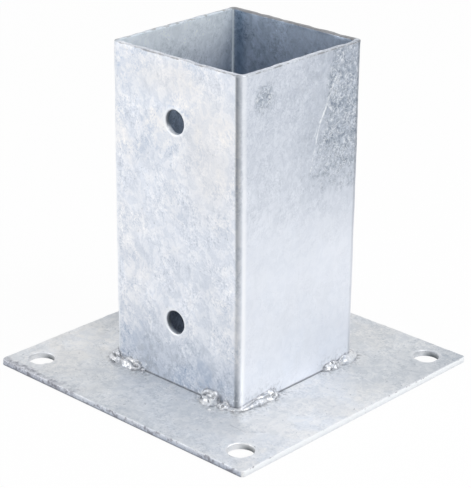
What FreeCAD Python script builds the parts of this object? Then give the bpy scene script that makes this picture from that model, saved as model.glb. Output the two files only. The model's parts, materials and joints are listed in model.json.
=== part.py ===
import FreeCAD, Part
import Sketcher
import math
import os
from FreeCAD import Vector

# A bolt-down base for a square timber post. A square sleeve, folded from sheet steel, stands on a flat
# base plate and is held by a stitch weld round each of its four corners. Four anchors hold the plate
# down, and two cross bolts go through the sleeve's front and back walls and the timber between them.
#
# Frame, in millimetres: the origin is the centre of the plate's underside, +Z is up along the sleeve,
# and the cross bolts lie along Y.

# ---------------------------------------------------------------- driving dimensions

SIZES = [
    # base plate
    ("plate_side", 150.0, "side of the square base plate"),
    ("plate_thick", 3.0, "thickness of the base plate"),
    ("plate_corner", 1.5, "corner radius of the plate, seen from above"),
    ("plate_edge", 0.4, "broken edge round the plate, top and bottom"),
    ("anchor_hole", 12.0, "diameter of the anchor holes"),
    ("anchor_inset", 13.0, "from the plate's side to an anchor hole's centre"),
    ("anchor_lip", 0.5, "broken edge where the punch entered an anchor hole"),
    # sleeve that holds the post
    ("post_side", 71.0, "inside width of the sleeve, for a 70 mm post"),
    ("socket_wall", 2.5, "thickness of the sleeve's sheet"),
    ("socket_height", 150.0, "height of the sleeve above the plate"),
    ("bend_inside", 1.0, "inside radius of the sleeve's four folds"),
    ("socket_edge", 0.4, "broken edge of the sleeve's rim and round its foot"),
    ("bolt_hole", 11.0, "diameter of the cross-bolt holes"),
    ("bolt_from_plate", 30.0, "from the plate's top to the lower cross bolt"),
    ("bolt_from_rim", 28.0, "from the sleeve's rim to the upper cross bolt"),
    ("bolt_lip", 0.4, "broken edge where the punch entered a cross-bolt hole"),
    # stitch welds: a row of overlapping drops of weld metal along each side of a corner
    ("drop_pitch", 3.7, "longest distance from one drop to the next"),
    ("drop_crest", 0.55, "how far the larger drops stand proud of the creases beside them"),
    ("bead_sink", 0.9, "how far behind both steel faces the middle of a bead lies"),
    ("front_right_run", 23.0, "from the sleeve's corner to each end of the bead"),
    ("front_right_corner", 1.9, "leg of the bead at the corner"),
    ("front_right_end", 3.6, "leg of the bead at its ends"),
    ("front_left_run", 14.5, ""),
    ("front_left_corner", 3.0, ""),
    ("front_left_end", 3.2, ""),
    ("back_right_run", 19.0, ""),
    ("back_right_corner", 3.2, ""),
    ("back_right_end", 2.4, ""),
    ("back_left_run", 17.0, ""),
    ("back_left_corner", 2.8, ""),
    ("back_left_end", 3.0, ""),
]

doc = FreeCAD.newDocument("timber_post_base")
sheet = doc.addObject("Spreadsheet::Sheet", "sizes")
for row, (alias, size, meaning) in enumerate(SIZES, start=1):
    sheet.set(f"A{row}", alias)
    sheet.set(f"B{row}", str(size))
    sheet.set(f"C{row}", meaning)
    sheet.setAlias(f"B{row}", alias)
doc.recompute()


def size(alias):
    """The number that the sheet holds under this name."""
    return float(sheet.get(alias))


# Sizes that follow from others, as expressions on the sheet.
SOCKET_SIDE = "sizes.post_side + 2 * sizes.socket_wall"
BEND_OUTSIDE = "sizes.bend_inside + sizes.socket_wall"
ANCHOR_REACH = "sizes.plate_side / 2 - sizes.anchor_inset"
UPPER_BOLT = "sizes.socket_height - sizes.bolt_from_rim"

socket_half = size("post_side") / 2 + size("socket_wall")
bend_outside = size("bend_inside") + size("socket_wall")


# ---------------------------------------------------------------- sketches and features

def bind(thing, path, expression):
    """Tie one property of an object to the sheet."""
    thing.setExpression(path, expression)


def new_sketch(body, name, role):
    """An empty sketch on one of the body's own origin planes."""
    plane = next(item for item in body.Origin.OriginFeatures if item.Role == role)
    sketch = body.newObject("Sketcher::SketchObject", name)
    sketch.AttachmentSupport = [(plane, "")]
    sketch.MapMode = "FlatFace"
    return sketch


def named(sketch, constraint, name, expression):
    """Add one constraint and tie it to the sheet."""
    index = sketch.addConstraint(constraint)
    sketch.renameConstraint(index, name)
    bind(sketch, "Constraints." + name, expression)


def rounded_square(sketch, name, side, radius, first_side, first_radius):
    """Draw a square about the sketch's origin, with rounded corners, and tie it to two expressions.

    The first numbers only place the drawing; the expressions then set its true size.
    """
    half = first_side / 2
    flat = half - first_radius
    straight = {
        "bottom": (Vector(-flat, -half, 0), Vector(flat, -half, 0)),
        "right": (Vector(half, -flat, 0), Vector(half, flat, 0)),
        "top": (Vector(flat, half, 0), Vector(-flat, half, 0)),
        "left": (Vector(-half, flat, 0), Vector(-half, -flat, 0)),
    }
    line = {key: sketch.addGeometry(Part.LineSegment(*ends)) for key, ends in straight.items()}
    corners = [(1, -1, -90), (1, 1, 0), (-1, 1, 90), (-1, -1, 180)]
    arcs = []
    for x, y, start in corners:
        circle = Part.Circle(Vector(x * flat, y * flat, 0), Vector(0, 0, 1), first_radius)
        turn = (math.radians(start), math.radians(start + 90))
        arcs.append(sketch.addGeometry(Part.ArcOfCircle(circle, *turn)))
    around = ["bottom", "right", "top", "left"]
    for index, arc in enumerate(arcs):
        before, after = around[index], around[(index + 1) % 4]
        sketch.addConstraint(Sketcher.Constraint("Tangent", line[before], 2, arc, 1))
        sketch.addConstraint(Sketcher.Constraint("Tangent", arc, 2, line[after], 1))
    for key in ("bottom", "top"):
        sketch.addConstraint(Sketcher.Constraint("Horizontal", line[key]))
    for key in ("right", "left"):
        sketch.addConstraint(Sketcher.Constraint("Vertical", line[key]))
    for arc in arcs[1:]:
        sketch.addConstraint(Sketcher.Constraint("Equal", arcs[0], arc))
    sketch.addConstraint(Sketcher.Constraint("Symmetric", line["bottom"], 1, line["top"], 1, -1, 1))
    across = Sketcher.Constraint("DistanceX", line["left"], 1, line["right"], 2, first_side)
    deep = Sketcher.Constraint("DistanceY", line["bottom"], 1, line["top"], 2, first_side)
    named(sketch, across, name + "_width", side)
    named(sketch, deep, name + "_depth", side)
    named(sketch, Sketcher.Constraint("Radius", arcs[0], first_radius), name + "_radius", radius)


def round_hole(sketch, name, across, up, diameter):
    """Draw one circle; across and up are (expression, first number) from the sketch's origin."""
    start = Part.Circle(Vector(across[1], up[1], 0), Vector(0, 0, 1), 1.0)
    circle = sketch.addGeometry(start)
    if across[0] is None:
        sketch.addConstraint(Sketcher.Constraint("PointOnObject", circle, 3, -2))
    else:
        named(sketch, Sketcher.Constraint("DistanceX", -1, 1, circle, 3, across[1]), name + "_x", across[0])
    named(sketch, Sketcher.Constraint("DistanceY", -1, 1, circle, 3, up[1]), name + "_y", up[0])
    named(sketch, Sketcher.Constraint("Diameter", circle, 2.0), name + "_diameter", diameter)


def pad(body, name, sketch, length):
    feature = body.newObject("PartDesign::Pad", name)
    feature.Profile = sketch
    bind(feature, "Length", length)
    doc.recompute()
    return feature


def break_edges(body, name, amount, wanted):
    """Chamfer every edge of the body's present shape that the test picks."""
    base = body.Tip
    picked = [f"Edge{index}" for index, edge in enumerate(base.Shape.Edges, start=1) if wanted(edge)]
    assert picked, f"{name}: no edge found"
    feature = body.newObject("PartDesign::Chamfer", name)
    feature.Base = (base, picked)
    bind(feature, "Size", amount)
    doc.recompute()


CLOSE = 1e-4


def lies_at(edge, axis, place):
    """True where the whole edge lies in the plane axis = place."""
    box = edge.BoundBox
    low, high = getattr(box, axis + "Min"), getattr(box, axis + "Max")
    return abs(low - place) < CLOSE and abs(high - place) < CLOSE


def is_hole(edge, diameter):
    """True for a full circle of this diameter."""
    return edge.Closed and abs(edge.Length - math.pi * diameter) < CLOSE


def is_outside(edge):
    """True where the edge runs along the sleeve's outer faces or folds."""
    middle = edge.CenterOfMass
    return max(abs(middle.x), abs(middle.y)) > size("post_side") / 2


# ---------------------------------------------------------------- base plate

def make_base_plate():
    """Square plate with an anchor hole near each corner."""
    body = doc.addObject("PartDesign::Body", "base_plate")
    outline = new_sketch(body, "plate_outline", "XY_Plane")
    rounded_square(outline, "plate", "sizes.plate_side", "sizes.plate_corner",
                   size("plate_side"), size("plate_corner"))
    pad(body, "plate_sheet", outline, "sizes.plate_thick")

    reach = size("plate_side") / 2 - size("anchor_inset")
    spot = new_sketch(body, "anchor_spot", "XY_Plane")
    round_hole(spot, "anchor", (ANCHOR_REACH, reach), (ANCHOR_REACH, reach), "sizes.anchor_hole")
    punch = body.newObject("PartDesign::Pocket", "anchor_punch")
    punch.Profile = spot
    punch.Type = "ThroughAll"
    punch.Reversed = True
    doc.recompute()
    corners = body.newObject("PartDesign::PolarPattern", "anchor_pattern")
    corners.Originals = [punch]
    corners.Axis = (spot, ["N_Axis"])
    corners.Angle = 360
    corners.Occurrences = 4
    body.Tip = corners
    doc.recompute()

    top, hole = size("plate_thick"), size("anchor_hole")
    break_edges(body, "anchor_lips", "sizes.anchor_lip",
                lambda edge: lies_at(edge, "Z", top) and is_hole(edge, hole))
    break_edges(body, "plate_edges", "sizes.plate_edge",
                lambda edge: not edge.Closed and (lies_at(edge, "Z", top) or lies_at(edge, "Z", 0)))
    return body


# ---------------------------------------------------------------- sleeve

def make_post_socket():
    """Square sleeve with folded corners, standing on the plate, punched for two cross bolts."""
    body = doc.addObject("PartDesign::Body", "post_socket")
    fold = new_sketch(body, "folded_section", "XY_Plane")
    rounded_square(fold, "outside", SOCKET_SIDE, BEND_OUTSIDE, 2 * socket_half, bend_outside)
    rounded_square(fold, "inside", "sizes.post_side", "sizes.bend_inside",
                   size("post_side"), size("bend_inside"))
    pad(body, "sleeve", fold, "sizes.socket_height")

    upper = size("socket_height") - size("bolt_from_rim")
    spots = new_sketch(body, "bolt_spots", "XZ_Plane")
    lower = size("bolt_from_plate")
    round_hole(spots, "lower", (None, 0.0), ("sizes.bolt_from_plate", lower), "sizes.bolt_hole")
    round_hole(spots, "upper", (None, 0.0), (UPPER_BOLT, upper), "sizes.bolt_hole")
    punch = body.newObject("PartDesign::Pocket", "bolt_punch")
    punch.Profile = spots
    punch.Type = "ThroughAll"
    punch.SideType = "Symmetric"
    doc.recompute()

    hole, rim = size("bolt_hole"), size("socket_height")
    break_edges(body, "bolt_lips", "sizes.bolt_lip",
                lambda edge: is_hole(edge, hole)
                and (lies_at(edge, "Y", socket_half) or lies_at(edge, "Y", -socket_half)))
    break_edges(body, "rim_edges", "sizes.socket_edge", lambda edge: lies_at(edge, "Z", rim))
    break_edges(body, "foot_edges", "sizes.socket_edge",
                lambda edge: lies_at(edge, "Z", 0) and is_outside(edge))
    bind(body, "Placement.Base.z", "sizes.plate_thick")
    return body


# ---------------------------------------------------------------- stitch welds

LOW_DROP = 0.6      # height of every other drop, as a share of the crest


def make_steel_room(reach):
    """The room that the plate and one corner of the sleeve take from a bead.

    The sleeve's sharp outer corner, at the plate's top, is the origin. The sleeve lies towards -X and
    +Y of it, and the plate below.
    """
    block = Part.makeBox(reach, reach, reach, Vector(-reach, 0, 0))
    fold = [edge for edge in block.Edges if lies_at(edge, "X", 0) and lies_at(edge, "Y", 0)]
    sleeve = block.makeFillet(bend_outside, fold)
    plate = Part.makeBox(2 * reach, 2 * reach, reach, Vector(-reach, -reach, -reach))
    return sleeve.fuse(plate)


def make_row(first, last, length):
    """A row of drops about the X axis, from radius first at X = 0 to radius last at X = length.

    Each drop climbs from a crease to a level crest and falls to the next crease; every other drop is
    the lower. Both ends are round, and the outline is turned about its axis.
    """
    count = max(1, math.ceil(length / size("drop_pitch")))
    pitch = length / count

    def crease(place):
        return Vector(place * pitch, first + (last - first) * place / count, 0)

    edge = [crease(0)]
    for drop in range(count):
        crest = Vector(0, size("drop_crest") * (1 if drop % 2 else LOW_DROP), 0)
        edge += [crease(drop + 0.25) + crest, crease(drop + 0.75) + crest, crease(drop + 1)]
    back, tip = Vector(-first, 0, 0), Vector(length + last, 0, 0)
    start = Part.Arc(back, Vector(-first, first, 0) / math.sqrt(2), edge[0])
    end = Part.Arc(edge[-1], edge[-1] + Vector(last, last * (1 - math.sqrt(2)), 0) / math.sqrt(2), tip)
    outline = [start.toShape(), *Part.makePolygon(edge).Edges, end.toShape(), Part.makeLine(tip, back)]
    return Part.Face(Part.Wire(outline)).revolve(Vector(0, 0, 0), Vector(1, 0, 0), 360)


def make_weld(place, side_x, side_y, turn):
    """Bead that wraps one corner of the sleeve, with a row of drops along each of its two walls.

    side_x and side_y are +1 or -1 and pick the corner; turn is the corner's angle about Z, in degrees,
    from the one at +X -Y. A bead of leg a, whose middle lies behind both faces by the sink, has a
    radius of the hypotenuse of (a + sink) and the sink.
    """
    sink = size("bead_sink")
    first = math.hypot(size(place + "_corner") + sink, sink)
    last = math.hypot(size(place + "_end") + sink, sink)
    run = size(place + "_run")
    length = run - bend_outside - math.sqrt(last ** 2 - 2 * sink ** 2)
    row = make_row(first, last, length)
    up, centre = Vector(0, 0, 1), Vector(0, 0, 0)
    along_x = row.copy()
    along_x.rotate(centre, up, 180)
    along_x.translate(Vector(-bend_outside, sink, -sink))
    along_y = row.copy()
    along_y.rotate(centre, up, 90)
    along_y.translate(Vector(-sink, bend_outside, -sink))
    inward = bend_outside - (bend_outside - sink) * math.cos(math.radians(45))
    fold = Part.makeSphere(first, Vector(-inward, inward, -sink))
    bead = along_x.fuse([along_y, fold]).cut(make_steel_room(2 * run))

    weld = doc.addObject("Part::Feature", "weld_" + place)
    weld.Shape = bead
    corner = Vector(side_x * socket_half, side_y * socket_half, size("plate_thick"))
    weld.Placement = FreeCAD.Placement(corner, FreeCAD.Rotation(up, turn))
    return weld


# ---------------------------------------------------------------- build, check and write

def check(parts):
    """Stop where a feature failed or a piece isn't one sound solid."""
    for item in doc.Objects:
        bad = [state for state in item.State if state in ("Invalid", "Error")]
        assert not bad, f"{item.Name}: {bad}"
    for part in parts:
        shape = part.Shape
        assert not shape.isNull() and shape.isValid(), f"{part.Label}: not a valid shape"
        assert len(shape.Solids) == 1, f"{part.Label}: {len(shape.Solids)} solids"


parts = [
    make_base_plate(),
    make_post_socket(),
    make_weld("front_right", 1, -1, 0),
    make_weld("back_right", 1, 1, 90),
    make_weld("back_left", -1, 1, 180),
    make_weld("front_left", -1, -1, 270),
]
doc.recompute()
check(parts)

os.makedirs("parts", exist_ok=True)
for part in parts:
    part.Shape.exportStep(f"parts/{part.Label}.step")
    box = part.Shape.BoundBox
    print(f"{part.Label}: {part.Shape.Volume:.1f} mm3, {len(part.Shape.Faces)} faces, "
          f"z {box.ZMin:.2f} to {box.ZMax:.2f}")
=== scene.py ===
# %% [markdown]
# # A bolt-down base for a timber post
#
# The real object is a square sleeve, folded from 2.5 mm steel, that stands on a flat plate. A short
# weld runs round each of its four corners, and the whole thing was dipped in molten zinc afterwards.
# The CAD model gives every piece its size and place. This lesson gives them what the dip left behind:
# soft edges, runs and lumps of zinc, and a cloudy grey skin.
#
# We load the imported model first. Everything below takes its places from it, in metres.

# %% Load the frame
import functools
import itertools
import json
import math

import bpy
import numpy as np
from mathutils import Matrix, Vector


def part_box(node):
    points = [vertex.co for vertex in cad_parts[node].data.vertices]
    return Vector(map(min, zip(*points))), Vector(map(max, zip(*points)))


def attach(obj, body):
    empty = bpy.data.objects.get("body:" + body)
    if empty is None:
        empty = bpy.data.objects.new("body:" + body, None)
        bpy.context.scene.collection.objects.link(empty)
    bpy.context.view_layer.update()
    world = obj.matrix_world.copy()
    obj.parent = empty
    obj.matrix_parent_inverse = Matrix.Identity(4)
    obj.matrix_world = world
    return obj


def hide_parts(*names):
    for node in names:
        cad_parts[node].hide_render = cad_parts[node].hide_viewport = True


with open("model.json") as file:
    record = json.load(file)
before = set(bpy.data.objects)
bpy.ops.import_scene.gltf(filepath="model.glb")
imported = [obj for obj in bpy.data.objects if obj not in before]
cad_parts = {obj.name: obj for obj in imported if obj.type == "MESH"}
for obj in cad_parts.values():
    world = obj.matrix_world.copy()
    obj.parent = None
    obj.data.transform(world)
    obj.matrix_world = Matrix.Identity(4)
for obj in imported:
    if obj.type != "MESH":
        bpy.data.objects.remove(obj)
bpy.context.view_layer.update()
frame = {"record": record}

# %% [markdown]
# ## The sizes that the looks depend on
#
# Boxes of the CAD nodes and the record's mounts say where the walls and the holes are. The sheet's
# thickness and the radius of its folds are the only sizes that no box shows, so they are named here.

# %% Sizes from the frame
MM = 0.001
SHEET = 2.5 * MM            # thickness of the sleeve's sheet
FOLD = 3.5 * MM             # outside radius of the sleeve's folds
PLATE_CORNER = 1.5 * MM     # radius of the plate's corners, seen from above

sleeve_low, sleeve_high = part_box("post_socket")
plate_low, plate_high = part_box("base_plate")
mounts = {mount["name"]: mount for mount in frame["record"]["mounts"]}

half = sleeve_high.x                     # from the middle to the sleeve's outer face
foot, rim = sleeve_low.z, sleeve_high.z
plate_half, plate_top = plate_high.x, plate_high.z
bolt_heights = [mounts[name]["pos_m"][2] for name in ("post_bolt_lower", "post_bolt_upper")]
bolt_radius = mounts["post_bolt_lower"]["dims"]["r_mm"] * MM
anchor_reach = mounts["anchor_holes"]["dims"]["spacing_x_mm"] / 2 * MM
anchor_radius = mounts["anchor_holes"]["dims"]["hole_r_mm"] * MM
print(f"sleeve {2 * half:.3f} wide, bolts at {bolt_heights}, anchors at {anchor_reach:.3f}")

# %% [markdown]
# ## Lumps
#
# Molten zinc never leaves a true flat. We need a smooth random surface that we can ask for a height at
# any point in space. Blender's own noise would be called once for each point; a table of random numbers
# and a little array arithmetic answers for a hundred thousand points at once.

# %% Smooth noise
def lumps(points, size, seed):
    """Smooth noise between -1 and 1.

    A random number sits on every point of a cubic lattice with this spacing. A place takes the eight
    numbers round it, each weighted along each axis by w * w * (3 - 2 * w) of its nearness.
    """
    table = np.random.default_rng(seed).uniform(-1, 1, (32, 32, 32))
    scaled = points / size
    cell = np.floor(scaled).astype(int)
    near = scaled - cell
    near = near * near * (3 - 2 * near)
    total = np.zeros(len(points))
    for corner in itertools.product((0, 1), repeat=3):
        weight = np.prod(np.where(corner, near, 1 - near), axis=1)
        total += weight * table[tuple(((cell + corner) % 32).T)]
    return total


def fade(distance, reach):
    """1 at no distance, falling smoothly to 0 at the reach."""
    nearness = np.clip(1 - distance / reach, 0, 1)
    return nearness * nearness * (3 - 2 * nearness)


def ramp(value, start, end):
    """0 at the start, 1 at the end, straight between them and level beyond."""
    return np.clip((value - start) / (end - start), 0, 1)


def spots(points, places):
    """How far inside the nearest of several egg-shaped spots each point is.

    A place is (centre, radii) in mm. The value is 1 - |(point - centre) / radii|: 1 at a centre, 0 on
    the spot's outline, and negative outside.
    """
    inside = [1 - np.linalg.norm((points / MM - centre) / np.array(radii, float), axis=1)
              for centre, radii in places]
    return np.max(inside, axis=0)


def laid_on(points, layers):
    """Depth of the zinc at each point: the sum of where * (mean + swing * lumps) over the layers.

    A layer is (where, mean, swing, size of the lumps, seed), with its measures in mm.
    """
    return MM * sum(where * (mean + swing * lumps(points, size * MM, seed))
                    for where, mean, swing, size, seed in layers)


print("noise at the origin:", lumps(np.zeros((1, 3)), 5 * MM, 1).round(3))

# %% [markdown]
# ## From arrays to a mesh
#
# Every piece below is worked out as two arrays: its points, and its faces as rows of four indices. A
# triangle is a row whose last index repeats its first. One function turns them into a Blender object,
# and another gives each point the direction that faces outwards, so that zinc can be laid on along it.

# %% Mesh helpers
def outward(points, faces):
    """Unit normal of each point: the sum, over its faces, of the cross product of their diagonals."""
    a, b, c, d = points[faces].transpose(1, 0, 2)
    face_normals = np.cross(c - a, d - b)
    total = np.zeros_like(points)
    for corner in range(4):
        solid = (faces[:, corner] != faces[:, 0]) | (corner == 0)
        np.add.at(total, faces[solid, corner], face_normals[solid])
    return total / np.linalg.norm(total, axis=1, keepdims=True)


def new_piece(name, points, faces, marks):
    """Make a smooth-shaded object from arrays; marks are numbers for each point that its material reads."""
    corners = np.where(faces[:, 3] == faces[:, 0], 3, 4)
    keep = np.arange(4) < corners[:, None]
    mesh = bpy.data.meshes.new(name)
    mesh.vertices.add(len(points))
    mesh.vertices.foreach_set("co", points.astype(np.float32).ravel())
    mesh.loops.add(int(corners.sum()))
    mesh.loops.foreach_set("vertex_index", faces[keep].astype(np.int32))
    mesh.polygons.add(len(faces))
    starts = np.concatenate([[0], np.cumsum(corners)[:-1]])
    mesh.polygons.foreach_set("loop_start", starts.astype(np.int32))
    mesh.update(calc_edges=True)
    mesh.shade_smooth()
    for mark, values in marks.items():
        layer = mesh.attributes.new(mark, "FLOAT", "POINT")
        layer.data.foreach_set("value", np.asarray(values, np.float32))
    piece = bpy.data.objects.new(name, mesh)
    bpy.context.scene.collection.objects.link(piece)
    print(f"{name}: {len(points)} points, {int((corners - 2).sum())} triangles")
    return piece


# %% [markdown]
# ## Sheet metal with punched holes
#
# The plate and the sleeve are both flat sheets with round holes, and the sleeve's is wrapped round a
# post afterwards. One kind of net serves both. Round each hole, rings of cells pass from a square to the
# circle, so that the hole is truly round and no cell is thin. A Boolean cut would leave long slivers
# that spoil every soft edge.

# %% Nets of cells
def ladder(stops, step):
    """Places from the first stop to the last. Each span between stops is split evenly, to at most a step."""
    spans = [np.linspace(low, high, math.ceil((high - low) / step), endpoint=False)
             for low, high in zip(stops, stops[1:])]
    return np.append(np.concatenate(spans), stops[-1])


def strip(before, after):
    """Cells between two closed loops of as many points."""
    return np.stack([np.roll(before, -1), before, after, np.roll(after, -1)], axis=-1)


def punched_net(across, up, holes, block, wraps, rings=6):
    """A net over (across, up) with round holes of (centre across, centre up, radius).

    Inside the square block round a hole, ring t of 0 to 1 is (1 - t) * square + t * circle, where the
    circle's point lies in the same direction from the centre as the square's. Returns the points, the
    cells, and for each hole its loop and the directions from the sheet into the hole. Each loop has
    the sheet on its left.
    """
    grid = np.stack(np.meshgrid(across, up), axis=-1).reshape(-1, 2)
    index = np.arange(len(grid)).reshape(len(up), len(across))
    right = np.roll(index, -1, axis=1) if wraps else index[:, 1:]
    left = index if wraps else index[:, :-1]
    cells = np.stack([left[:-1], right[:-1], right[1:], left[1:]], axis=-1)
    kept = np.ones(cells.shape[:2], bool)
    points, extra, loops = [grid], [], []
    count = len(grid)
    for centre_across, centre_up, radius in holes:
        centre = np.array([centre_across, centre_up])
        (first, last), (low, high) = (
            np.searchsorted(stops, [place - block - 1e-9, place + block - 1e-9])
            for stops, place in ((across, centre_across), (up, centre_up)))
        kept[low:high, first:last] = False
        ring = np.concatenate([index[low, first:last], index[low:high, last],
                               index[high, last:first:-1], index[high:low:-1, first]])
        square = grid[ring] - centre
        circle = radius * square / np.linalg.norm(square, axis=1, keepdims=True)
        for share in np.linspace(0, 1, rings + 1)[1:]:
            inner = count + np.arange(len(ring))
            points.append(centre + square * (1 - share) + circle * share)
            extra.append(strip(inner, ring))
            ring, count = inner, count + len(ring)
        loops.append((ring[::-1], -circle[::-1] / radius))
    cells = np.concatenate([cells[kept], *extra])
    used, cells = np.unique(cells, return_inverse=True)
    loops = [(np.searchsorted(used, loop), way) for loop, way in loops]
    return np.concatenate(points)[used], cells.reshape(-1, 4), loops


def thick_sheet(net, cells, loops, thick, steps=4):
    """Give a net its thickness and round its cut edges.

    Returns rows of (across, up, depth), and the faces. The outer skin has depth 0 and the inner skin
    the full thickness. Along each loop the edge goes a quarter turn of radius roll outwards, straight
    down, and a quarter turn back in: offset = roll * sin(turn), depth = roll * (1 - cos(turn)).
    """
    count = len(net)
    rows = [np.column_stack([net, np.full(count, depth)]) for depth in (0, thick)]
    faces = [cells, cells[:, ::-1] + count]
    turn = np.linspace(0, math.pi / 2, steps + 1)[1:]
    total = 2 * count
    for loop, way, roll in loops:
        offsets, depths = roll * np.sin(turn), roll * (1 - np.cos(turn))
        offsets = np.concatenate([offsets, offsets[::-1]])
        depths = np.concatenate([depths, thick - depths[::-1]])
        before = loop
        for offset, depth in zip(offsets, depths):
            after = total + np.arange(len(loop))
            rows.append(np.column_stack([net[loop] + way * offset, np.full(len(loop), depth)]))
            faces.append(strip(before, after))
            before, total = after, total + len(loop)
        faces.append(strip(before, loop + count))
    return np.concatenate(rows), np.concatenate(faces)


print("a ladder of 5 mm steps:", (ladder([0, 12 * MM, 20 * MM], 5 * MM) / MM).round(1))

# %% [markdown]
# ## The folded sleeve
#
# A square with rounded corners is a smaller sharp square, the core, grown by one radius all round: each
# point is a core point plus a direction times that radius. A point deeper in the sheet has the same core
# point and direction and a smaller radius, so one formula gives both faces of the sheet and every layer
# between them.

# %% Section of the sleeve
flat = half - FOLD                       # half of a wall's flat stretch
arc = FOLD * math.pi / 2                 # outer length of one fold
side = 2 * flat + arc                    # one wall and the fold after it


def section(around, depth):
    """Place and direction, in plan, at a distance around the sleeve's outside and a depth in its sheet.

    Wall 0 faces -Y, and the walls follow each other anticlockwise. Along a wall the core point slides
    and the direction is square to the wall. Round a fold the core point waits at the corner and the
    direction turns by (distance past the wall) / FOLD. Both are then turned by 90 degrees times the
    number of the wall.
    """
    wall = np.floor(around / side)
    along = around - wall * side
    core = np.clip(along, 0, 2 * flat) - flat
    turn = np.clip(along - 2 * flat, 0, arc) / FOLD
    way = np.stack([np.sin(turn), -np.cos(turn)], axis=-1)
    plan = np.stack([core, np.full_like(core, -flat)], axis=-1) + way * (FOLD - depth)[..., None]
    cosine, sine = np.cos(wall * math.pi / 2), np.sin(wall * math.pi / 2)

    def turned(pair):
        return np.stack([cosine * pair[..., 0] - sine * pair[..., 1],
                         sine * pair[..., 0] + cosine * pair[..., 1]], axis=-1)

    return turned(plan), turned(way)


def fold_middle(corner):
    """Distance around the sleeve to the middle of a fold; fold 0 is the corner at +X -Y."""
    return corner * side + 2 * flat + arc / 2


def past_fold(around):
    """Distance past the middle of the nearest fold."""
    return (around - fold_middle(0) + side / 2) % side - side / 2


def seam_place(x, y):
    """Distance around the sleeve's outside, and away from it, of a place in plan.

    The nearest core point is the place held inside the core. The way from it gives the turn, and the
    wall's number is how many quarter turns that is.
    """
    core_x, core_y = np.clip(x, -flat, flat), np.clip(y, -flat, flat)
    turn = np.mod(np.arctan2(y - core_y, x - core_x) + math.pi / 2 + 1e-6, 2 * math.pi)
    wall = np.floor(turn / (math.pi / 2))
    slide = np.choose(wall.astype(int) % 4, [core_x, core_y, -core_x, -core_y])
    around = wall * side + slide + flat + FOLD * (turn - wall * math.pi / 2)
    return around, np.hypot(x - core_x, y - core_y) - FOLD


middle, _ = section(np.array([fold_middle(0)]), np.array([0.0]))
print("middle of the fold at +X -Y, in mm:", (middle / MM).round(2))

# %% [markdown]
# ## The welds, written down
#
# A short weld is a row of drops that froze one after the other. Each drop has a place along the seam, a
# half length, a height on the wall and a reach on the plate. At the front corner the bead swells along
# one wall and breaks into blobs along the other, and every other corner has a row of its own. The rows
# come first because soot and burnt zinc lie beside every weld on the sleeve and the plate, with a painted
# shade along its toe.

# %% Rows of drops
WELDS = {                   # fold, smooth stretch, drops as (place, half length, height, reach), in mm
    "weld_front_right": (0, (1, 16), [
        (-15.1, 5.2, 4.6, 5.2), (-17.8, 2.6, 4.0, 4.6), (-12.2, 2.4, 4.4, 4.6), (-9.2, 2.2, 1.4, 2.6),
        (-6.3, 2.4, 2.8, 3.6), (-2.5, 3.6, 1.1, 2.0), (1.5, 4.5, 1.0, 1.5), (8.5, 9.5, 2.0, 2.5),
        (14.5, 8.5, 2.8, 3.4), (18.8, 4.6, 3.5, 4.0), (21.8, 2.2, 2.4, 2.8)]),
    "weld_back_right": (1, (-9, 3), [
        (-17.0, 2.8, 2.4, 2.8), (-13.4, 3.2, 2.7, 2.8), (-10.4, 1.8, 1.7, 2.0), (-4.4, 5.6, 3.0, 4.0),
        (1.4, 4.4, 2.5, 4.5), (4.8, 2.6, 2.6, 3.2), (9.0, 4.2, 2.5, 2.8), (14.2, 3.4, 2.3, 2.4)]),
    "weld_back_left": (2, (0, 0), [
        (-13.4, 3.6, 2.8, 3.0), (-8.6, 4.0, 2.5, 2.8), (-3.0, 4.6, 2.9, 3.0), (3.2, 4.8, 2.8, 3.2),
        (9.0, 4.2, 2.9, 2.8), (13.8, 3.0, 2.6, 2.6)]),
    "weld_front_left": (3, (5, 10), [
        (-12.0, 3.4, 2.6, 3.0), (-7.6, 3.8, 3.0, 3.4), (-1.2, 4.8, 4.2, 4.6), (2.2, 2.2, 3.2, 4.0),
        (8.3, 4.5, 3.4, 4.0), (12.6, 3.2, 3.6, 3.6), (16.4, 2.0, 1.0, 1.6)]),
}


def swelling(along, drops, column):
    """Height (column 2) or reach (column 3) of a row of drops along its seam.

    A drop stands size * sqrt(1 - (distance / half length) ** 2), and the row is the sixth root of the
    sum of the sixth powers, which runs smoothly from drop to drop.
    """
    place, length = (np.array([drop[number] for drop in drops]) * MM for number in (0, 1))
    size = np.array([drop[column] for drop in drops]) * MM
    each = size * np.sqrt(np.clip(1 - ((along[..., None] - place) / length) ** 2, 0, None))
    return (each ** 6).sum(axis=-1) ** (1 / 6)


def near_welds(around, away, column):
    """How near each point is to the toe of a weld, from 0 to 1, on the plate (3) or the wall (2)."""
    toe, soot = np.zeros_like(around), np.zeros_like(around)
    for corner, _, drops in WELDS.values():
        along = (around - fold_middle(corner) + 2 * side) % (4 * side) - 2 * side
        size = swelling(along, drops, column)
        there = np.clip(size / MM, 0, 1)
        toe = np.maximum(toe, there * fade(np.abs(away - size), 0.8 * MM))
        widest = np.max([swelling(along + shift, drops, column) for shift in (-4 * MM, 0, 4 * MM)], axis=0)
        soot = np.maximum(soot, np.clip(widest / MM, 0, 1) * fade(away, 11 * MM))
    return toe, soot


front_reach = swelling(np.array([-15.0, 0, 15]) * MM, WELDS["weld_front_right"][2], 3)
print("reach at the front corner, in mm:", (front_reach / MM).round(2))
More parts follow.
